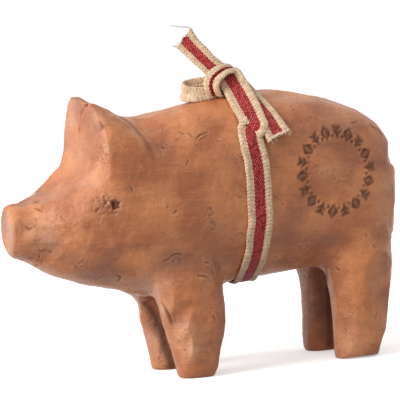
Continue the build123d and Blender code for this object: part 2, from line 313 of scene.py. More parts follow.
# Flats that the photograph shows: place, tilt to the right and up in degrees, reach, depth
FLATS = (
    (30, 232, -4, 0, 9, 0.5), (42, 250, 4, -14, 8, 0.7), (66, 228, 0, -4, 12, 0.4),
    (60, 258, 2, -10, 12, 0.5), (118, 150, -2, 8, 11, 0.4), (130, 250, 0, -10, 18, 0.5),
    (172, 305, -22, 0, 12, 0.6), (186, 318, -6, 12, 8, 0.7), (152, 335, -18, 0, 10, 0.8),
    (350, 305, -10, 0, 16, 0.8), (376, 290, 22, 0, 14, 0.9), (346, 340, -12, 0, 11, 0.7),
    (300, 98, 0, 22, 18, 0.6), (340, 104, 6, 20, 14, 0.6), (378, 215, 18, 0, 16, 0.5),
    (150, 345, -10, 0, 9, 0.5),
)

# Planes that meet at a leg's edge: place on it, turn from the camera in degrees, reach
EDGES = (
    (192.5, 352, -38, 15), (192.5, 352, 25, 15), (191.5, 332, -36, 12), (191.5, 332, 24, 12),
    (372, 320, 30, 14),
)

# Cracks and nicks: places along the mark in the photograph, then its width and depth
CRACKS = (
    (((80, 126), (79, 133)), 0.7, 0.5), (((131, 187), (133, 192)), 0.6, 0.5),
    (((26, 227), (30, 229.5), (33, 228.5)), 0.6, 0.5), (((22, 222), (23, 230)), 0.5, 0.25),
    (((117, 275), (121, 277), (118, 281)), 0.8, 0.5),
    (((116, 115), (125, 120), (134, 127), (146, 141), (153, 157)), 2.3, 0.28),
    (((170, 257), (176, 254), (182, 254.5)), 0.7, 0.5), (((163, 262), (171, 258)), 0.7, 0.4),
    (((198, 275.5), (204, 276), (209, 278)), 0.7, 0.6), (((207, 209), (211, 208), (213, 212)), 0.7, 0.4),
    (((208, 216), (212, 215)), 0.6, 0.4), (((210, 223), (214, 222), (216, 226)), 0.7, 0.4),
    (((211, 230), (215, 229)), 0.6, 0.4), (((174, 213), (177, 211)), 0.8, 0.5),
    (((196, 139), (200, 135), (208, 132)), 0.7, 0.5), (((197, 140), (203, 139), (207, 135)), 0.5, 0.35),
    (((179, 132), (185, 134)), 0.6, 0.4), (((188, 133), (194, 137)), 0.7, 0.4),
    (((186, 166), (189, 160)), 0.5, 0.35), (((32, 201), (40, 203)), 0.5, 0.35),
    (((34, 204), (39, 200)), 0.5, 0.3), (((98, 152), (103, 160), (101, 166)), 0.7, 0.5),
    (((102, 150), (106, 156)), 0.6, 0.4), (((99, 160), (105, 165)), 0.6, 0.4),
    (((99, 121), (103, 126), (102, 131)), 0.7, 0.45), (((104, 198), (106, 203), (103, 206)), 0.8, 0.6),
    (((96, 211), (100, 208)), 0.8, 0.6), (((108, 202), (112, 205)), 0.8, 0.5),
    (((270, 168), (278, 166), (277, 172)), 0.45, 0.25), (((205, 262), (209, 263)), 0.6, 0.5),
    (((212, 270), (214, 276)), 0.8, 0.6), (((335, 267), (339, 271)), 0.7, 0.5),
    (((213, 316), (216, 321)), 0.6, 0.4), (((169, 318), (172, 323)), 0.7, 0.5),
    (((352, 123), (357, 122)), 0.7, 0.4), (((370, 124), (376, 130)), 1, 0.5),
    (((376, 128), (381, 135)), 1, 0.5), (((87.5, 104.5), (85, 106.5)), 0.9, 0.8),
    (((85, 107), (82, 111), (80.5, 118)), 0.7, 0.25),
    (((162, 303), (166, 310), (170, 317), (172, 324)), 1, 0.7),
    (((111.6, 202.6), (113.5, 204.5)), 0.9, 0.9), (((118, 203.6), (121.5, 201.4)), 0.8, 0.7),
    (((113, 208.6), (116.5, 207.6)), 0.9, 0.8), (((117.5, 206.5), (119.5, 208)), 0.7, 0.6),
    (((149, 316), (152, 319), (150, 321)), 0.9, 0.6),
)

# Pits: place in the photograph, then width and depth
PITS = (
    (115, 205, 1.9, 0.3), (112, 206.5, 1.3, 0.7), (119, 203, 1.2, 0.6), (105, 197, 1, 0.8),
    (97, 212, 1.2, 0.9), (94, 201, 0.9, 0.6), (101, 215, 0.9, 0.5), (108, 212, 0.8, 0.4),
    (93, 207, 0.8, 0.4), (99, 220, 0.8, 0.4), (37.6, 221, 0.9, 0.6), (35, 240.6, 0.8, 0.5),
    (30, 224, 0.7, 0.4), (44, 251, 1, 0.7), (47, 250, 0.9, 0.6), (50.5, 252, 1.2, 0.7),
    (38, 261, 0.9, 0.5), (42, 262, 0.9, 0.5), (37, 265, 0.7, 0.5), (80, 263, 1, 0.6), (82, 267, 0.8, 0.5),
    (63, 220, 1, 0.5), (66, 221, 0.9, 0.5), (61, 217, 0.8, 0.4), (101, 236, 0.6, 0.4),
    (283, 204, 0.9, 0.7), (297, 213, 0.6, 0.4), (304, 250, 1, 0.7), (307, 247, 0.8, 0.5),
    (276, 257, 0.8, 0.6), (338, 269, 1.1, 0.7), (377, 252, 1, 0.5), (375, 247, 0.9, 0.5),
    (374, 238, 0.9, 0.5), (181, 337, 1.1, 0.5), (185, 350.5, 0.8, 0.7), (325, 277, 1.1, 0.7),
    (160, 358, 0.9, 0.5), (162, 362, 0.8, 0.5), (216, 305, 0.8, 0.5), (218, 309, 0.7, 0.4),
    (170, 141, 0.8, 0.4), (164, 148, 1.2, 0.5), (167, 145, 0.9, 0.4), (206, 176, 0.6, 0.4),
    (251, 284, 0.8, 0.4), (52, 188, 0.6, 0.3), (219, 262, 0.8, 0.5), (222, 258, 0.7, 0.5),
    (345, 330, 0.8, 0.4), (360, 320, 0.7, 0.4), (372, 312, 0.8, 0.4),
)

# Patches of cooler clay mixed with painted shade on faces turned from the lamp, of painted sheen and light,
# and of warmer
# clay: place in the photograph, reach, strength. Painted shade also lies along lines of places.
COOL_CLAY_AND_SHADE_PATCHES = (
    (48, 244, 5, 0.7), (78, 262, 7, 0.5), (105, 272, 8, 0.7), (172, 260, 8, 0.8), (150, 285, 9, 0.4),
    (164, 148, 6, 0.4), (118, 207, 3.5, 0.5), (205, 240, 9, 0.35), (285, 235, 10, 0.45),
    (320, 240, 8, 0.55), (345, 148, 8, 0.35), (312, 268, 7, 0.6), (378, 160, 8, 0.5), (215, 272, 8, 0.7),
    (260, 115, 7, 0.4), (316, 310, 9, 0.9), (318, 285, 8, 0.8), (352, 160, 6, 0.6), (356, 178, 5, 0.5),
    (310, 122, 12, 0.6), (285, 112, 9, 0.5), (345, 125, 9, 0.5), (206, 345, 9, 0.7), (160, 325, 5, 0.7),
    (168, 350, 4, 0.8), (118, 205, 3, 0.8), (162, 140, 6, 0.5), (384, 262, 6, 0.9), (386, 235, 5, 0.5),
    (290, 150, 10, 0.35), (240, 160, 9, 0.3), (210, 225, 9, 0.4), (384, 300, 5, 0.5), (320, 112, 10, 0.5),
    (395, 190, 5, 0.5),
)
# Painted shade in the crevices between the legs: places along each line, reach, strength
SHADED_LINES = (
    (((145, 303), (151, 311), (156, 320), (161, 331), (164, 342), (168, 354), (172, 366)), 3, 0.9),
    (((148, 312), (153, 322), (157, 334)), 3.4, 0.5),
    (((326, 276), (328, 290), (329, 310), (330, 332), (330, 344)), 3.4, 1),
    (((318, 272), (322, 290), (324, 310), (325, 334)), 5.5, 0.6),
    (((309, 275), (308, 300), (310, 330)), 2.2, 0.35),
)
# Painted sheen and light, where faces catch the lamp and the light thrown up from the floor
PAINTED_SHEEN_PATCHES = (
    (10, 236, 9, 0.3), (50, 196, 9, 0.35), (70, 112, 8, 0.6), (80, 150, 10, 0.4), (88, 180, 6, 0.45),
    (97, 168, 4, 0.5), (40, 234, 8, 0.5), (98, 116, 4, 0.5), (106, 150, 3, 0.6), (158, 345, 7, 0.6),
    (180, 335, 8, 0.4), (192, 350, 3, 0.6), (164, 308, 4, 0.5), (350, 345, 8, 0.35), (300, 95, 10, 0.5),
    (340, 102, 10, 0.4), (150, 285, 8, 0.5), (126, 118, 5, 0.3), (155, 112, 8, 0.4), (330, 175, 7, 0.25),
    (385, 190, 5, 0.3),
)
WARM_PATCHES = (
    (222, 118, 8, 0.6), (195, 170, 10, 0.3), (200, 205, 12, 0.3), (356, 268, 9, 0.9), (352, 300, 10, 0.5),
    (365, 300, 9, 0.8), (372, 265, 6, 0.6), (290, 160, 10, 0.35), (190, 300, 6, 0.4), (122, 165, 10, 0.3),
    (140, 225, 12, 0.3), (330, 170, 6, 0.3),
)

# Clusters of chips: place in the photograph, spread in its pixels, count, size
CHIP_CLUSTERS = (
    (107, 204, 4.5, 34, 0.95), (98, 211, 3, 10, 0.9), (101, 150, 2.6, 14, 0.95), (104, 160, 2.6, 10, 0.9),
    (101, 127, 2.4, 10, 0.8), (98, 168, 2, 5, 0.8), (188, 138, 8, 12, 0.8), (163, 146, 4, 8, 0.8),
    (208, 213, 4.5, 8, 0.8), (176, 256, 5, 8, 0.9), (43, 252, 5, 9, 0.7), (38, 222, 4, 7, 0.7),
    (80, 264, 5, 6, 0.7), (212, 272, 5, 9, 0.9), (305, 250, 6, 6, 0.8), (330, 272, 8, 8, 0.9),
    (375, 245, 6, 8, 0.8), (182, 343, 6, 6, 0.7), (65, 220, 4, 6, 0.7), (365, 318, 9, 8, 0.7),
    (155, 325, 4, 14, 0.9), (158, 358, 5, 9, 0.8), (152, 318, 3, 8, 0.8), (285, 100, 9, 6, 0.8),
    (330, 172, 9, 16, 0.7), (352, 165, 5, 8, 0.8),
)
CHIPS = 190
NICKS = 45

# The burnt ornament on the flank: its middle in the photograph, then millimetres and shares
STAMP_PLACE = (337, 171.5)
STAMP_OUTER = 17.6
STAMP_INNER = 13.1
STAMP_NARROW = 0.93
STAMP_STROKE = 0.92
STAMP_DEPTH = 0.9
STAMP_MOTIFS = 18
STAMP_SPREAD = 1.6
TWIG_REACH = 1.5


def add_lump(shape, places):
    """Adds the solid that a skin drawn tight round some places would hold."""
    lump = bmesh.new()
    corners = [lump.verts.new(Vector(place) * MM) for place in places]
    bmesh.ops.convex_hull(lump, input=corners)
    mesh = bpy.data.meshes.new("lump")
    lump.to_mesh(mesh)
    lump.free()
    shape.from_mesh(mesh)
    bpy.data.meshes.remove(mesh)


def joined_clay():
    """One mesh of the clay nodes, with the ears and brow laid on, remeshed into an even skin."""
    shape = bmesh.new()
    for node in CLAY_NODES:
        shape.from_mesh(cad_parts[node].data)
    for lump in (NEAR_EAR, FAR_EAR, CREST, NAPE_FRONT, NAPE_REAR, CHEST, LEG_WEB):
        add_lump(shape, lump)
    for index in range(len(NEAR_BROW) - 1):
        edge = [Vector(row[index + step]) for row in (NEAR_BROW, FAR_BROW) for step in (0, 1)]
        add_lump(shape, edge + [place + BROW_DEPTH for place in edge])
    mesh = bpy.data.meshes.new("clay")
    shape.to_mesh(mesh)
    shape.free()
    body = new_object("clay_body", mesh)
    skin = body.modifiers.new("skin", "REMESH")
    skin.mode = "VOXEL"
    skin.voxel_size = VOXEL * MM
    evaluated = body.evaluated_get(bpy.context.evaluated_depsgraph_get())
    body.data = bpy.data.meshes.new_from_object(evaluated)
    body.modifiers.clear()
    return body


def node_tree(*nodes):
    """Search tree of some CAD nodes' surfaces, in millimetres."""
    points, faces = [], []
    for node in nodes:
        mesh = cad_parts[node].data
        start = len(points)
        points += [vertex.co / MM for vertex in mesh.vertices]
        faces += [[start + index for index in face.vertices] for face in mesh.polygons]
    return BVHTree.FromPolygons(points, faces)


def blend_joins(clay):
    """Presses the clay smooth where the legs and the tail meet the trunk."""
    trunk = node_tree(*TRUNK_NODES)
    weight = np.zeros(clay.count)
    for node in LIMB_NODES:
        limb = node_tree(node)
        reach = TAIL_JOIN_REACH if node == "tail" else JOIN_REACH
        low, high = (np.array(corner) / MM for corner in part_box(node))
        for index in clay.near((low + high) / 2, (high - low) / 2 + reach):
            place = clay.points[index]
            apart = trunk.find_nearest(place)[3]
            if apart < reach:
                apart = max(apart, limb.find_nearest(place)[3])
                weight[index] = max(weight[index], falloff(apart, reach))
    clay.smooth(JOIN_ROUNDS, weight)


def cut_forehead(clay):
    """Cuts the head back to the flat runs between the two brows."""
    chosen = clay.near(np.array(CUT_MIDDLE), np.array(CUT_REACH))
    points = clay.points[chosen]
    nearest = np.full(len(points), 1e9)
    push = np.zeros_like(points)
    for index in range(len(NEAR_BROW) - 1):
        near, near_below = (np.array(place) for place in NEAR_BROW[index : index + 2])
        far, far_below = (np.array(place) for place in FAR_BROW[index : index + 2])
        across = far - near
        down = near_below - near + far_below - far
        outward = unit(np.cross(far_below - near_below + across, down))
        height = (points - near - across / 2) @ outward
        closer = height < nearest
        nearest = np.where(closer, height, nearest)
        push = np.where(closer[:, None], outward, push)
    fade = np.clip((points[:, 0] + CUT_END) / CUT_FADE, 0, 1)
    clay.points[chosen] -= push * (np.maximum(nearest, 0) * fade)[:, None]


def press_flat(clay, place, outward, radius, depth, limit=FLAT_LIMIT):
    """Flattens the clay round a place to a plane that lies the depth below it."""
    chosen = clay.near(place, radius)
    offset = clay.points[chosen] - place
    height = offset @ outward + depth
    weight = falloff(np.linalg.norm(offset, axis=1), radius) ** 0.5
    clay.points[chosen] -= outward * (np.clip(height, 0, limit) * weight)[:, None]


def trim_outline(clay):
    """Trims the clay to the outline that the photograph shows."""
    right, up, _ = np.array(camera_axes())
    for across, down, angle, radius in TRIMS:
        start, direction = np.array(sight_line(across, down))
        outward = right * cos(radians(angle)) + up * sin(radians(angle))
        offset = clay.points - start
        beyond = offset @ direction
        beside = np.linalg.norm(offset - beyond[:, None] * direction, axis=1)
        height = offset @ unit(outward - direction * (outward @ direction))
        weight = falloff(beside, radius) ** 0.35
        clay.points -= outward * (np.clip(height, 0, TRIM_LIMIT) * weight)[:, None]


def ease_seams(clay):
    """Evens out the seams round the ears and the neck."""
    for line, reach, rounds in EASED:
        distance, _ = line_distance(clay.points, line)
        clay.smooth(rounds, falloff(distance, reach) * EASE_WEIGHT)


def roughen_eye(clay):
    """Makes the near eye a shallow, uneven hole."""
    inward = np.array(EYE_INWARD)
    middle = np.array(EYE_PLACE)
    chosen = clay.near(middle, EYE_REACH)
    offset = clay.points[chosen] - middle
    deep = offset @ inward
    beside = offset - deep[:, None] * inward
    apart = np.linalg.norm(beside, axis=1)
    wander = np.array([noise.noise(Vector(place) * 0.9) for place in clay.points[chosen]])
    weight = falloff(np.abs(apart - EYE_RIM), 2.2)
    clay.points[chosen] += unit(beside) * (weight * (1.3 * wander - 0.22))[:, None]
    below = np.where(apart < EYE_HOLE, np.maximum(deep - EYE_DEPTH, 0), 0)
    clay.points[chosen] -= inward * (below * 0.85)[:, None]


def press_flats(clay):
    """The flats that the photograph shows."""
    right, up, _ = np.array(camera_axes())
    for across, down, tilt_right, tilt_up, radius, depth in FLATS:
        place, outward = clay.seen_at(across, down)
        outward = unit(outward + right * sin(radians(tilt_right)) + up * sin(radians(tilt_up)))
        press_flat(clay, place, outward, radius, depth)


def press_edges(clay):
    """The sharp edges down the legs."""
    right, _, back = np.array(camera_axes())
    for across, down, turn, radius in EDGES:
        place, _ = clay.seen_at(across, down)
        press_flat(clay, place, back * cos(radians(turn)) + right * sin(radians(turn)), radius, 0.1)


def carve(clay, line, width, depth, burnt=False):
    """Presses a groove along a line of places, with a raised pale lip, and darkens or burns it."""
    line = np.array(line)
    reach = width * LIP_SHARE
    low, high = line.min(0) - reach, line.max(0) + reach
    chosen = clay.near((low + high) / 2, (high - low) / 2)
    if len(chosen) == 0:
        return
    distance, share = line_distance(clay.points[chosen], line)
    inward = clay.inward(line.mean(0))
    taper = 1 - END_TAPER * np.abs(2 * share - 1) ** 2
    groove = falloff(distance, width) * taper
    lip = falloff(np.abs(distance - width), width * (LIP_SHARE - 1)) * taper
    clay.points[chosen] += inward * (groove * depth - lip * depth * LIP_HEIGHT)[:, None]
    layer = clay.burnt if burnt else clay.dark
    strength = BURN_STRENGTH if burnt else DARK_LEAST + depth
    layer[chosen] = np.maximum(layer[chosen], np.minimum(1.0, groove * strength))
    if not burnt:
        clay.worn[chosen] = np.maximum(clay.worn[chosen], lip * min(0.4, depth * 0.7))


def mark(clay):
    """The cracks, nicks and pits that the photograph shows."""
    for places, width, depth in CRACKS:
        line = [clay.seen_at(*place)[0] for place in places]
        carve(clay, line, width, depth)
    for across, down, width, depth in PITS:
        place, outward = clay.seen_at(across, down)
        carve(clay, (place, place + outward * 0.01), width, depth)


def chip(clay, place, size, depth, chance):
    """A small torn chip: a few short strokes that cross at a place."""
    outward = -clay.inward(place)
    for _ in range(chance.randint(1, 4)):
        aim = unit(np.cross(outward, chance.normal(0, 1, 3)))
        start = place + aim * size * chance.uniform(-0.3, 0.5)
        end = start + aim * size * chance.uniform(0.4, 1.2)
        carve(clay, (start, end), size * chance.uniform(0.45, 0.75), depth * chance.uniform(0.5, 1.0))


def chip_all_over(clay):
    """Clusters of chips where the photograph shows them, and single ones all over."""
    chance = np.random.RandomState(21)
    for across, down, wide, count, size in CHIP_CLUSTERS:
        for _ in range(count):
            place, _ = clay.seen_at(across + chance.normal(0, wide), down + chance.normal(0, wide))
            chip(clay, place, size * chance.uniform(0.5, 1.2), chance.uniform(0.2, 0.6), chance)
    for index in chance.choice(clay.count, CHIPS, replace=False):
        place = clay.points[index].copy()
        chip(clay, place, chance.uniform(0.35, 0.95), chance.uniform(0.1, 0.42), chance)
    for index in chance.choice(clay.count, NICKS, replace=False):
        place = clay.points[index].copy()
        outward = -clay.inward(place)
        aim = unit(np.cross(outward, chance.normal(0, 1, 3)))
        bend = unit(np.cross(outward, aim)) * chance.uniform(-0.6, 0.6)
        length = chance.uniform(1.2, 3.6)
        line = (place, place + aim * length / 2 + bend, place + aim * length)
        carve(clay, line, chance.uniform(0.5, 0.7), chance.uniform(0.1, 0.35))


def stamp(clay):
    """A burnt ring on the flank: leaves and twigs by turns, with a dot between them."""
    middle, outward = clay.seen_at(*STAMP_PLACE)
    right = np.array(camera_axes()[0])
    right = unit(right - outward * (right @ outward))
    up = np.cross(outward, right)

    def on_clay(turn, radius, beside):
        out = right * STAMP_NARROW * cos(turn) + up * sin(turn)
        flat = middle + radius * out + beside * (up * cos(turn) - right * sin(turn))
        hit = clay.tree.ray_cast(Vector(flat + outward * 15), Vector(-outward))[0]
        return np.array(hit) if hit else flat

    def stroke(turn, *places):
        carve(clay, [on_clay(turn, *place) for place in places], STAMP_STROKE, STAMP_DEPTH, True)

    waist = (STAMP_INNER + STAMP_OUTER) / 2
    for index in range(STAMP_MOTIFS):
        turn = 2 * pi * (index + 0.35) / STAMP_MOTIFS
        if index % 2:
            for side in (-1, 1):
                stroke(turn, (STAMP_INNER, 0), (waist, side * STAMP_SPREAD), (STAMP_OUTER, 0))
            stroke(turn, (waist - 0.5, 0), (waist + 0.5, 0))
        else:
            stroke(turn, (STAMP_INNER, 0), (STAMP_OUTER, 0))
            for radius in (STAMP_INNER + 1.1, waist + 0.6):
                for side in (-1, 1):
                    stroke(turn, (radius, 0), (radius + TWIG_REACH, side * TWIG_REACH))
        between = turn + pi / STAMP_MOTIFS
        stroke(between, (STAMP_INNER + 0.5, 0), (STAMP_INNER + 0.9, 0))


def patches(clay, places):
    """Strength of a tint at each point, from patches placed on the photograph."""
    strength = np.zeros(clay.count)
    for across, down, radius, weight in places:
        place, _ = clay.seen_at(across, down)
        distance = np.linalg.norm(clay.points - place, axis=1)
        strength = np.maximum(strength, weight * falloff(distance, radius * PATCH_EDGE))
    return strength


def shades(clay):
    """Painted shade at each point in the crevices between the legs."""
    strength = np.zeros(clay.count)
    for places, radius, weight in SHADED_LINES:
        line = [clay.seen_at(*place)[0] for place in places]
        distance, _ = line_distance(clay.points, line)
        strength = np.maximum(strength, weight * falloff(distance, radius))
    return strength


def press_facets(clay):
    """The flat spots that fingers and a blade leave all over the clay."""
    chance = np.random.RandomState(11)
    normals = clay.normals()
    for index in chance.choice(clay.count, FACETS, replace=False):
        outward = unit(normals[index] + chance.normal(0, 0.06, 3))
        radius = chance.uniform(10.0, 19.0)
        depth = chance.uniform(0.1, 0.35)
        press_flat(clay, clay.points[index].copy(), outward, radius, depth, FACET_LIMIT)


def roughen(clay):
    """Lets the surface wander a little, as hand-pressed clay does."""
    normals = clay.normals()
    height = np.zeros(clay.count)
    for size, strength in WANDER:
        height += strength * np.array([noise.noise(Vector(place) / size) for place in clay.points])
    clay.points += normals * height[:, None]


def make_clay():
    """The sculpted clay body."""
    body = joined_clay()
    clay = Clay(body.data)
    blend_joins(clay)
    cut_forehead(clay)
    ease_seams(clay)
    roughen_eye(clay)
    clay.smooth(4)
    trim_outline(clay)
    clay.settle()
    press_flats(clay)
    press_facets(clay)
    press_edges(clay)
    clay.smooth(2)
    roughen(clay)
    clay.settle()
    mark(clay)
    chip_all_over(clay)
    stamp(clay)
    clay.settle()
    body.data.vertices.foreach_set("co", (clay.points * MM).ravel())
    body.data.shade_smooth()
    body.data.update()
    # Dark values hold the darkened grooves and the painted shade between the legs, pale ones the worn lips
    # and painted sheen and light, cool ones cooler clay and painted shade
    give_values(body, dark=np.maximum(clay.dark, shades(clay)), burnt=clay.burnt)
    give_values(body, worn=np.maximum(clay.worn, patches(clay, PAINTED_SHEEN_PATCHES)))
    give_values(body, cool=patches(clay, COOL_CLAY_AND_SHADE_PATCHES), warm=patches(clay, WARM_PATCHES))
    body.data.materials.clear()
    body.data.materials.append(clay_material())
    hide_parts(*CLAY_NODES)
    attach(body, "root")
    return clay


# The ribbon's woven tape, in millimetres and shares of its half width: its striped field, the
# braided cords along its edges, how far it tucks inward, how it wanders, and its threads
TAPE_WIDTH = 10.0
TAPE_STEP = 0.3
TAPE_COLUMNS = 35
STRIPE_SHARE = 0.42
CORD_MIDDLE = 0.73
CORD_HALF = 0.62
FIELD_HALF = 0.36
BRAID_PITCH = 1.35
BRAID_SLANT = 0.55
RIB_PITCH = 1.05
RIB_HEIGHT = 0.05
TUCK_DEPTH = 0.36
CLOSED = 0.01
HELD_OPEN = 0.22
PLAIN_FROM = 2.9
CREAM_LANE = 4.0
SWAY = 0.28
NARROWING = 0.05
END_REACH = 8.0
THREAD_SIDES = 5
FRAY_RADIUS = 0.13
LOOSE_RADIUS = 0.2

# The band round the belly: middle, turn and lean of its plane, its angles round the middle, the gap
# under it, how far it bows to the front, at which height and reach, and where the climbs take over
BELLY_MIDDLE = (12.98, 0, 66)
BELLY_TURN = radians(3.5)
BELLY_LEAN = radians(0.4)
BELLY_ANGLES = np.linspace(radians(-228), radians(80), 156)
BELLY_GAP = 0.12
BELLY_BOWS = ((2.2, 34, 26), (1, 90, 16))
NEAR_START = (-19.6, 88)
FAR_END = 8

# The bunched tape inside the knot
CORE_MIDDLE = (8.4, -2.4, 109.8)
CORE_RADII = (6.2, 4.6, 4.6)

# Paths of the ribbon's stretches: place, direction that the tape faces, share of its width
MAIN_START = (
    (9.9, -4.8, 113.4, -0.4, -0.84, 0.36, 0.9),
    (10.2, -6.6, 112, -0.36, -0.84, 0.4, 1),
    (10.7, -8.8, 109.6, -0.3, -0.82, 0.48, 1.05),
    (11.3, -11.4, 106.6, -0.25, -0.78, 0.56, 1.08),
    (11.9, -14.8, 102.9, -0.22, -0.76, 0.6, 1.08),
    (12.5, -18.9, 98.3, -0.2, -0.78, 0.58, 1.08),
    (12.8, -21.4, 95.1, -0.2, -0.8, 0.55, 1.08),
    (12.7, -22.6, 93.4, -0.2, -0.84, 0.5, 1.06),
    (11.4, -22.2, 92.4, -0.16, -0.86, 0.44, 0.98),
    (10.9, -22.4, 90.6, -0.14, -0.9, 0.4, 0.97),
)
UPPER_TAIL = (
    (10.1, -4, 110.9, -0.36, -0.93, 0.05, 0.8),
    (5.7, -2.8, 115.5, -0.36, -0.93, 0.05, 0.78),
    (2.3, -1, 119.5, -0.38, -0.92, 0.02, 0.77),
    (-0.9, 1.2, 123.7, -0.33, -0.94, 0, 0.8),
    (-3.7, 3.2, 127.7, -0.38, -0.92, 0, 0.87),
)
LOWER_TAIL = (
    (13.2, -3.6, 109.9, -0.08, -0.55, 0.82, 0.84),
    (15.2, -8.6, 106.2, -0.04, -0.58, 0.81, 0.9),
    (17.2, -15.4, 101.4, 0, -0.7, 0.71, 0.92),
    (19.1, -21.8, 95.3, -0.02, -0.86, 0.5, 0.95),
    (21, -26.4, 88.8, -0.14, -0.93, 0.3, 1.02),
)
LOOP = (
    (4, -4.6, 106.9, -0.2, -0.9, 0.38, 1),
    (0.6, -5.3, 106.3, -0.2, -0.9, 0.38, 1.04),
    (-3.3, -5.1, 106.2, -0.35, -0.86, 0.38, 1.08),
    (-6.4, -3.4, 106.6, -0.8, -0.5, 0.34, 1.08),
    (-7, -0.6, 107.6, -0.98, 0.1, 0.15, 1.04),
    (-4.6, 1.6, 108.8, -0.4, 0.9, 0, 1),
    (-0.6, 2, 109.4, 0.05, 1, 0, 1),
    (4, 1, 109.6, 0.1, 0.98, 0, 1),
)
WRAP = (
    (5.2, -5, 104.6, -0.5, -0.6, -0.55, 0.8),
    (2.9, -7.4, 106, -0.72, -0.62, -0.25, 0.84),
    (1.9, -8.4, 109.2, -0.75, -0.64, 0.1, 0.86),
    (3.4, -8.5, 112.4, -0.6, -0.68, 0.42, 0.86),
    (7.2, -7.4, 114.7, -0.28, -0.62, 0.72, 0.84),
    (11.8, -5, 115.2, 0.2, -0.5, 0.84, 0.82),
    (15.2, -1.6, 113.4, 0.66, -0.3, 0.68, 0.8),
    (16.4, 1.8, 109.8, 0.9, 0, 0.2, 0.78),
    (14, 3.2, 106.4, 0.6, 0.4, -0.6, 0.74),
)
FAR_CLIMB = ((11, 3.2, 111.5, 0, 0.55, 0.83, 0.85),)
LOOSE_THREAD = (
    (0.2, 3, 130.6), (-1.4, 2.9, 131.9), (-4.2, 2.8, 132.1), (-6.6, 2.6, 132.6), (-8.9, 2.4, 133.1),
)


def spread(rows, step):
    """Rows evenly spaced along the smooth curve through the given rows, and how far along each is."""
    rows = np.array(rows, float)
    padded = np.vstack((2 * rows[0] - rows[1], rows, 2 * rows[-1] - rows[-2]))
    fine = []
    for index in range(len(rows) - 1):
        before, start, end, after = padded[index : index + 4]
        for share in np.linspace(0, 1, 24, endpoint=False):
            bend = (2 * before - 5 * start + 4 * end - after) * share**2
            turn = (3 * start - before - 3 * end + after) * share**3
            fine.append((2 * start + (end - before) * share + bend + turn) / 2)
    fine = np.array(fine + [rows[-1]])
    runs = np.linalg.norm(np.diff(fine[:, :3], axis=0), axis=1)
    along = np.concatenate(((0.0,), np.cumsum(runs)))
    places = np.linspace(0, along[-1], max(2, round(along[-1] / step) + 1))
    return np.column_stack([np.interp(places, along, column) for column in fine.T]), places


def mesh_piece(name, points, faces, material):
    """A mesh object from points in millimetres."""
    mesh = bpy.data.meshes.new(name)
    mesh.from_pydata((np.asarray(points) * MM).tolist(), [], faces)
    mesh.shade_smooth()
    mesh.materials.append(material)
    return new_object(name, mesh)


def give_values(piece, **layers):
    """Keeps numbers for each point of a piece, by name, for its material."""
    for name, values in layers.items():
        layer = piece.data.attributes.new(name, "FLOAT", "POINT")
        layer.data.foreach_set("value", np.asarray(values, np.float32).ravel())


def tucked(across, opening):
    """How far out and how far in each lane lies once the tape's striped middle is tucked inward."""
    size = np.abs(across)
    middle = np.clip(size / STRIPE_SHARE, 0, 1)
    beyond = np.maximum(size - STRIPE_SHARE, 0)
    return np.sign(across) * (opening * middle + beyond), -TUCK_DEPTH * (1 - middle)


def tube_faces(rings, around, start=0):
    """Faces of a tube and of its two ends, from rings of points."""
    faces = []
    for low in range(start, start + (rings - 1) * around, around):
        for corner in range(around):
            after = (corner + 1) % around
            faces.append((low + corner, low + around + corner, low + around + after, low + after))
    faces.append(tuple(range(start, start + around)))
    faces.append(tuple(reversed(range(start + (rings - 1) * around, start + rings * around))))
    return faces


def both_sides(upper, lower):
    """The lanes of a tape's upper face, and back along its lower face."""
    return np.concatenate((upper, lower[:, -2:0:-1]), axis=1)


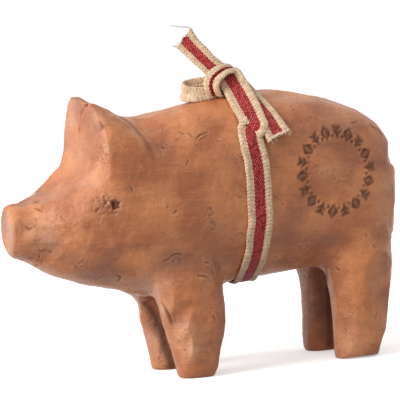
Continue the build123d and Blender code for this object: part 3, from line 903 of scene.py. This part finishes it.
def tape(name, rows, material, tuck=None, cut=0.0, drift=0.0, hem=0.0, seed=0):
    """A stretch of the woven tape along a path, with braided edges and a flat striped middle."""
    chance = np.random.RandomState(seed)
    rows, along = spread(rows, TAPE_STEP)
    centre, share = rows[:, :3], rows[:, 6]
    run = unit(np.gradient(centre, axis=0))
    facing = rows[:, 3:6]
    facing = unit(facing - (facing * run).sum(1)[:, None] * run)
    side = np.cross(run, facing)
    across = np.linspace(-1, 1, TAPE_COLUMNS)
    u, v = np.meshgrid(across, along)
    cord = np.sqrt(np.clip(1 - ((np.abs(u) - CORD_MIDDLE) / (1 - CORD_MIDDLE)) ** 2, 0, 1))
    field = FIELD_HALF * (np.abs(u) < 0.85) * np.clip((1 - np.abs(u)) / 0.2, 0, 1)
    slant = (np.abs(u) - CORD_MIDDLE) / (1 - CORD_MIDDLE)
    braid = np.abs(np.sin(pi * (v / BRAID_PITCH + BRAID_SLANT * slant)))
    braid_back = np.abs(np.sin(pi * (v / BRAID_PITCH - BRAID_SLANT * slant + 0.5)))
    rib = RIB_HEIGHT * np.cos(2 * pi * v / BRAID_PITCH) * np.cos(2 * pi * u * TAPE_WIDTH / 2 / RIB_PITCH)
    top = np.maximum(field + rib * (field > 0), CORD_HALF * cord * (0.72 + 0.34 * braid))
    back = np.maximum(field - rib * (field > 0), CORD_HALF * cord * (0.72 + 0.34 * braid_back))

    def wander(pace, lane):
        return np.array([noise.noise(Vector((place * pace, lane, seed))) for place in along])

    half = TAPE_WIDTH / 2 * (share + NARROWING * wander(0.19, 7.3))[:, None]
    half = half * (1 + 0.022 * np.sin(2 * pi * v / BRAID_PITCH + 2 * np.sign(u)))
    sway = np.column_stack([wander(0.16, spot * 1.7) for spot in across])
    out, deep = (across, np.zeros(TAPE_COLUMNS)) if tuck is None else tucked(across, tuck)
    lean, rise = unit(np.column_stack((-np.gradient(deep), np.gradient(out)))).T
    level = deep * half + SWAY * sway
    lane = out * half + SWAY * wander(0.15, 3.1)[:, None]
    flat = centre[:, None] + side[:, None] * lane[..., None] + facing[:, None] * level[..., None]
    square = side[:, None] * lean[None, :, None] + facing[:, None] * rise[None, :, None]
    last = along[-1]
    ragged = 0.5 * chance.uniform(-1, 1, TAPE_COLUMNS) + cut * across
    pull = ragged[None, :] * np.clip((v - last + END_REACH) / END_REACH, 0, 1) ** 2
    flat = flat + run[:, None] * pull[..., None]
    upper = flat + square * top[..., None]
    lower = flat - square * back[..., None]
    ring = both_sides(upper, lower)
    piece = mesh_piece(name, ring.reshape(-1, 3), tube_faces(*ring.shape[:2]), material)
    place = u * TAPE_WIDTH / 2 + drift
    place = np.where(v > last - hem + 0.4 * ragged, CREAM_LANE, place)
    if tuck == CLOSED:
        place = np.maximum(np.abs(place), PLAIN_FROM)
    give_values(piece, across=both_sides(place, place), along=both_sides(v, v))
    piece["length"] = float(last)
    return piece


def threads(name, lines, radius, material):
    """Thin round threads along some lines, as one piece."""
    points, faces = [], []
    for line in lines:
        line = np.array(line)
        run = unit(np.gradient(line, axis=0))
        first = unit(np.cross(run, np.array((0.31, 0.52, 0.79))))
        second = np.cross(run, first)
        faces += [face[::-1] for face in tube_faces(len(line), THREAD_SIDES, len(points))]
        for index, place in enumerate(line):
            thin = radius * (1 - 0.5 * index / (len(line) - 1))
            for corner in range(THREAD_SIDES):
                angle = 2 * pi * corner / THREAD_SIDES
                points.append(place + thin * (first[index] * cos(angle) + second[index] * sin(angle)))
    piece = mesh_piece(name, points, faces, material)
    give_values(piece, across=np.full(len(points), CREAM_LANE), along=np.array(points)[:, 2])
    return piece


def fray(name, rows, material, count, length, seed):
    """Loose threads at a tape's cut end."""
    chance = np.random.RandomState(seed)
    rows, _ = spread(rows, TAPE_STEP)
    end, before = rows[-1], rows[-6]
    run = unit(end[:3] - before[:3])
    facing = unit(end[3:6])
    side = np.cross(run, facing)
    shares = np.linspace(0, 1, 5)[:, None]
    lines = []
    for index in range(count):
        lane = chance.uniform(0.5, 1.0) * (1 if index % 2 else -1)
        if index % 5 == 0:
            lane = chance.uniform(-0.5, 0.5)
        root = end[:3] + side * lane * TAPE_WIDTH / 2 - run * chance.uniform(0.0, 1.6)
        aim = unit(run + side * (lane * 0.35 + chance.normal(0, 0.35)) + facing * chance.normal(0.1, 0.3))
        bend = chance.normal(0, 0.5, 3)
        reach = length * chance.uniform(0.4, 1.0)
        lines.append(root + aim * reach * shares + bend * shares**2 * reach * 0.3)
    return threads(name, lines, FRAY_RADIUS, material)


def belly_path(clay):
    """Path of the ribbon from the knot down the near side, under the belly and up the far side."""
    middle = np.array(BELLY_MIDDLE)
    turn, lean = np.tan(BELLY_TURN), np.tan(BELLY_LEAN)
    rows = []
    for angle in BELLY_ANGLES:
        out = np.array((0.0, cos(angle), sin(angle)))
        out[0] = turn * out[1] + lean * out[2]
        start = middle + out * 70
        place, outward, _, _ = clay.tree.ray_cast(Vector(start), Vector(-unit(out)))
        rows.append((*place, *outward))
    rows = np.array(rows)
    for _ in range(3):
        rows[1:-1] = (rows[:-2] + rows[1:-1] + rows[2:]) / 3
    rows[:, 3:6] = unit(rows[:, 3:6])
    rows[:, :3] += rows[:, 3:6] * (CORD_HALF + BELLY_GAP)
    near = np.clip(-rows[:, 1] / 12, 0, 1)
    for bow, height, reach in BELLY_BOWS:
        rows[:, 0] -= bow * near * falloff(np.abs(rows[:, 2] - height), reach)
    low = next(index for index, row in enumerate(rows) if row[1] < NEAR_START[0] and row[2] < NEAR_START[1])
    high = max(index for index, row in enumerate(rows) if row[1] > FAR_END)
    share = np.ones((high - low + 1, 1))
    belly = np.hstack((rows[low : high + 1], share))
    return np.vstack((MAIN_START, belly[::3], FAR_CLIMB))


def make_ribbon(clay):
    """The tied ribbon, stretch by stretch."""
    woven = tape_material()
    belly = tape("belly_tape", belly_path(clay), woven, seed=1)
    upper = tape("upper_tail", UPPER_TAIL, woven, cut=0.9, drift=0.2, seed=2)
    lower = tape("lower_tail", LOWER_TAIL, woven, cut=0.4, hem=1.1, seed=3)
    loop = tape("loop", LOOP, woven, tuck=CLOSED, seed=4)
    wrap = tape("knot_wrap", WRAP, woven, tuck=HELD_OPEN, seed=5)
    upper_fray = fray("upper_fray", UPPER_TAIL, woven, 26, 1.6, 6)
    lower_fray = fray("lower_fray", LOWER_TAIL, woven, 46, 2.2, 7)
    loose_thread = threads("loose_thread", [spread(LOOSE_THREAD, 0.5)[0]], LOOSE_RADIUS, woven)
    core = knot_core(woven)
    for piece, nodes, held, rests, others in (
        (belly, ("ribbon_band", "ribbon_near_rise", "ribbon_far_rise"), "stretched", ["clay_body"], []),
        (upper, ("ribbon_upper_tail",), "folded", ["knot_core"], [upper_fray, loose_thread]),
        (lower, ("ribbon_lower_tail",), "laid", ["clay_body"], [lower_fray]),
        (loop, ("ribbon_loop",), "folded", ["clay_body"], []),
        (wrap, ("ribbon_knot",), "folded", ["knot_core"], []),
    ):
        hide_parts(*nodes)
        for item in [piece] + others:
            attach(item, "root")
    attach(core, "root")


def knot_core(material):
    """The bunched tape inside the knot."""
    lump = bmesh.new()
    bmesh.ops.create_icosphere(lump, subdivisions=5, radius=1.0)
    points = np.array([corner.co for corner in lump.verts])
    faces = [[corner.index for corner in face.verts] for face in lump.faces]
    lump.free()
    twist = np.sin(points @ np.array((9.0, 2.0, 5.0)) + 1.5 * points[:, 1])
    fold = np.sin(points @ np.array((2.5, 1.0, -3.5)))
    size = 1 + 0.05 * twist + 0.07 * fold
    places = points * size[:, None] * np.array(CORE_RADII) + np.array(CORE_MIDDLE)
    core = mesh_piece("knot_core", places, faces, material)
    give_values(core, across=np.full(len(points), CREAM_LANE), along=places[:, 2] * 1.3 + places[:, 0])
    return core


class Nodes:
    """Short hand for building the node tree of a material or a world."""

    def __init__(self, owner, shader="Principled BSDF"):
        owner.use_nodes = True
        self.owner = owner
        self.tree = owner.node_tree
        self.shader = self.tree.nodes[shader]

    def fill(self, socket, value):
        """Sets a socket to a value, or links it to another node's output."""
        if isinstance(value, bpy.types.NodeSocket):
            self.tree.links.new(value, socket)
        else:
            socket.default_value = value

    def give(self, **inputs):
        """Fills some of the shader's own inputs."""
        for name, value in inputs.items():
            self.fill(self.shader.inputs[name.replace("_", " ")], value)

    def add(self, kind, **settings):
        """A node with some of its settings and inputs set."""
        node = self.tree.nodes.new(kind)
        for name, value in settings.items():
            if hasattr(node, name):
                setattr(node, name, value)
            else:
                self.fill(node.inputs[name.replace("_", " ")], value)
        return node

    def attribute(self, name):
        """The number kept for each point under a name."""
        return self.add("ShaderNodeAttribute", attribute_name=name).outputs["Fac"]

    def place(self, scale):
        """The object's own coordinates, stretched."""
        own = self.add("ShaderNodeTexCoord").outputs["Object"]
        return self.add("ShaderNodeMapping", Scale=scale, Vector=own).outputs["Vector"]

    def noise(self, scale, detail=3.0, rough=0.55, stretch=(1, 1, 1)):
        """Soft random values, from 0 to 1."""
        place = self.place(stretch)
        made = self.add("ShaderNodeTexNoise", Vector=place, Scale=scale, Detail=detail, Roughness=rough)
        return made.outputs["Fac"]

    def math(self, operation, *values):
        """The result of an operation on values or other nodes' outputs."""
        node = self.add("ShaderNodeMath", operation=operation)
        for socket, value in zip(node.inputs, values):
            self.fill(socket, value)
        return node.outputs["Value"]

    def times(self, first, second):
        """The product of two values or outputs."""
        return self.math("MULTIPLY", first, second)

    def ramp(self, value, low, high, bottom=0.0, top=1.0):
        """The value's range from low to high, made a smooth range from bottom to top."""
        node = self.add("ShaderNodeMapRange", interpolation_type="SMOOTHSTEP", Value=value)
        for name, number in (("From Min", low), ("From Max", high), ("To Min", bottom), ("To Max", top)):
            node.inputs[name].default_value = number
        return node.outputs["Result"]

    def mix(self, share, first, second):
        """Colour between two colours."""
        node = self.add("ShaderNodeMix", data_type="RGBA")
        for index, value in ((0, share), (6, first), (7, second)):
            self.fill(node.inputs[index], value)
        return node.outputs[2]

    def bump(self, height, strength, distance, under=None):
        """A surface pushed out by a height, on top of another such surface."""
        node = self.add("ShaderNodeBump", Height=height, Strength=strength, Distance=distance * MM)
        if under is not None:
            self.fill(node.inputs["Normal"], under)
        return node.outputs["Normal"]

    def looked_at(self):
        """1 for rays that come from the camera or a shiny surface, otherwise 0."""
        rays = self.add("ShaderNodeLightPath")
        return self.math("MAXIMUM", rays.outputs["Is Camera Ray"], rays.outputs["Is Glossy Ray"])


def colour(red, green, blue):
    """Linear colour from a screen colour of 0 to 255."""
    parts = [value / 255 for value in (red, green, blue)]
    linear = [part / 12.92 if part <= 0.04045 else ((part + 0.055) / 1.055) ** 2.4 for part in parts]
    return (*linear, 1.0)


def tape_material():
    """Woven cotton: cream braided edges with painted shade in their gaps, and a red middle flecked with
    pale threads.
    """
    nodes = Nodes(bpy.data.materials.new("woven_tape"))
    across, along = nodes.attribute("across"), nodes.attribute("along")
    size = nodes.math("ABSOLUTE", across)
    beat = nodes.times(along, 2 * pi / BRAID_PITCH)
    wave = nodes.math("SINE", beat)
    edge = nodes.math("MULTIPLY_ADD", wave, 0.16, STRIPE_SHARE * TAPE_WIDTH / 2)
    stripe = nodes.ramp(nodes.math("SUBTRACT", size, edge), -0.08, 0.08, 1.0, 0.0)
    lane = nodes.math("COSINE", nodes.times(across, 2 * pi / RIB_PITCH))
    row = nodes.math("COSINE", beat)
    fleck = nodes.ramp(nodes.times(lane, row), 0.45, 0.85)
    speck = nodes.noise(900.0, 2.0)
    fleck = nodes.times(fleck, nodes.ramp(speck, 0.35, 0.55))
    inner = nodes.ramp(size, 1.3, 1.9, 1.0, 0.25)
    fleck = nodes.times(fleck, inner)
    red = nodes.mix(nodes.ramp(speck, 0.3, 0.7), colour(128, 14, 20), colour(182, 34, 40))
    red = nodes.mix(nodes.times(fleck, 0.85), red, colour(236, 170, 152))
    shade = nodes.ramp(nodes.noise(700.0, 4.0, 0.7), 0.3, 0.7)
    cream = nodes.mix(shade, colour(200, 160, 124), colour(238, 212, 180))
    # Painted shade in the gaps between the braided cords
    braid_gap_shade = nodes.math("ABSOLUTE", nodes.math("SINE", nodes.times(beat, 0.5)))
    cream = nodes.mix(nodes.ramp(braid_gap_shade, 0.0, 0.45, 0.45, 0.0), cream, colour(164, 118, 82))
    weave = nodes.math("MULTIPLY_ADD", nodes.times(lane, row), 0.5, nodes.noise(1600.0, 3.0, 0.6))
    nodes.give(Base_Color=nodes.mix(stripe, cream, red), Normal=nodes.bump(weave, 0.7, 0.22))
    nodes.give(Roughness=0.85, Sheen_Weight=0.25, Sheen_Roughness=0.5, Specular_IOR_Level=0.25)
    return nodes.owner


def clay_material():
    """Waxed terracotta: clouded orange and brown, dark in the pits, pale where worn, with painted sheen and
    light on lit faces and painted shade in crevices and on faces turned from the lamp, softly shiny.
    """
    nodes = Nodes(bpy.data.materials.new("waxed_terracotta"))
    cloud = nodes.noise(55.0, 5.0, 0.62)
    smear = nodes.noise(85.0, 6.0, 0.68, (0.4, 1.0, 1.6))
    streak = nodes.noise(150.0, 5.0, 0.7, (0.22, 1.0, 2.2))
    grain = nodes.noise(520.0, 4.0, 0.72)
    base = nodes.mix(nodes.ramp(cloud, 0.34, 0.66), colour(170, 98, 60), colour(208, 134, 86))
    base = nodes.mix(nodes.ramp(smear, 0.50, 0.70, 0.0, 0.5), base, colour(140, 82, 54))
    base = nodes.mix(nodes.ramp(streak, 0.54, 0.74, 0.0, 0.3), base, colour(222, 154, 108))
    # Cooler clay in patches, together with painted shade on the far legs, the rump's edge and the back
    cool = nodes.times(nodes.attribute("cool"), nodes.ramp(smear, 0.3, 0.6, 0.25, 1.0))
    base = nodes.mix(cool, base, colour(128, 82, 66))
    warm = nodes.times(nodes.attribute("warm"), nodes.ramp(cloud, 0.3, 0.65, 0.3, 1.0))
    base = nodes.mix(warm, base, colour(214, 136, 80))
    # Pale worn lips of the grooves, and painted sheen and light on the lit faces
    worn = nodes.times(nodes.attribute("worn"), nodes.ramp(streak, 0.3, 0.6, 0.45, 1.0))
    base = nodes.mix(worn, base, colour(220, 166, 130))
    base = nodes.mix(nodes.ramp(grain, 0.56, 0.78, 0.0, 0.5), base, colour(128, 72, 50))
    base = nodes.mix(nodes.ramp(grain, 0.24, 0.42, 0.4, 0.0), base, colour(232, 172, 136))
    # Darkened grooves and pits, and painted shade in the crevices between the legs
    base = nodes.mix(nodes.times(nodes.attribute("dark"), 0.85), base, colour(82, 46, 32))
    burn = nodes.times(nodes.attribute("burnt"), nodes.ramp(grain, 0.3, 0.6, 1.0, 0.75))
    base = nodes.mix(burn, base, colour(92, 46, 24))
    shine = nodes.math("MULTIPLY_ADD", nodes.noise(90.0, 4.0, 0.6), 0.4, 0.2)
    shine = nodes.math("ADD", shine, nodes.times(nodes.attribute("dark"), 0.3))
    pores = nodes.add("ShaderNodeTexVoronoi", Scale=620.0, Vector=nodes.place((1, 1, 1)))
    pore = nodes.ramp(pores.outputs["Distance"], 0.05, 0.34)
    few = nodes.ramp(nodes.noise(160.0, 2.0), 0.5, 0.62, 1.0, 0.0)
    pore = nodes.math("MAXIMUM", pore, few)
    fine = nodes.bump(nodes.noise(800.0, 5.0, 0.75), 0.7, 0.16)
    strokes = nodes.bump(nodes.noise(150.0, 6.0, 0.7, (0.3, 1.0, 1.8)), 0.8, 0.8, fine)
    lumps = nodes.bump(nodes.noise(110.0, 3.0, 0.6), 0.6, 1.3, strokes)
    nodes.give(Base_Color=base, Roughness=shine, Specular_IOR_Level=0.4)
    nodes.give(Normal=nodes.bump(pore, 0.6, 0.3, lumps))
    return nodes.owner


# Lights: the white studio's strength on the object, the lamp in metres and watts, the paper's glow
SKY_LIGHT = 0.68
KEY_PLACE = (-1.5, -0.25, 0.85)
KEY_SIZE = 0.9
KEY_POWER = 26.0
PAPER_GLOW = 0.42


def floor_material():
    """White paper to the camera, that throws little of its light back on the object."""
    nodes = Nodes(bpy.data.materials.new("white_paper"))
    seen = nodes.looked_at()
    paper = nodes.mix(seen, (0.35, 0.35, 0.35, 1), (0.95, 0.95, 0.95, 1))
    nodes.give(Base_Color=paper, Roughness=0.9, Emission_Color=(1, 1, 1, 1))
    nodes.give(Emission_Strength=nodes.times(seen, PAPER_GLOW))
    return nodes.owner


def make_stage():
    """Pale floor, a soft lamp and the world's even light."""
    bpy.ops.mesh.primitive_plane_add(size=6.0, location=(0, 0, 0))
    floor = bpy.context.object
    floor.name = "floor"
    floor.data.materials.append(floor_material())
    world = bpy.data.worlds.new("studio")
    bpy.context.scene.world = world
    nodes = Nodes(world, "Background")
    nodes.give(Color=(1, 1, 1, 1), Strength=nodes.ramp(nodes.looked_at(), 0.0, 1.0, SKY_LIGHT, 1.0))
    data = bpy.data.lights.new("key", "AREA")
    data.size = KEY_SIZE
    data.energy = KEY_POWER
    lamp = new_object("key", data)
    lamp.location = KEY_PLACE
    lamp.rotation_mode = "QUATERNION"
    lamp.rotation_quaternion = (CAMERA_TARGET - Vector(KEY_PLACE)).to_track_quat("-Z", "Y")


make_camera()
make_ribbon(make_clay())
make_stage()
bpy.context.scene.view_settings.view_transform = "Standard"
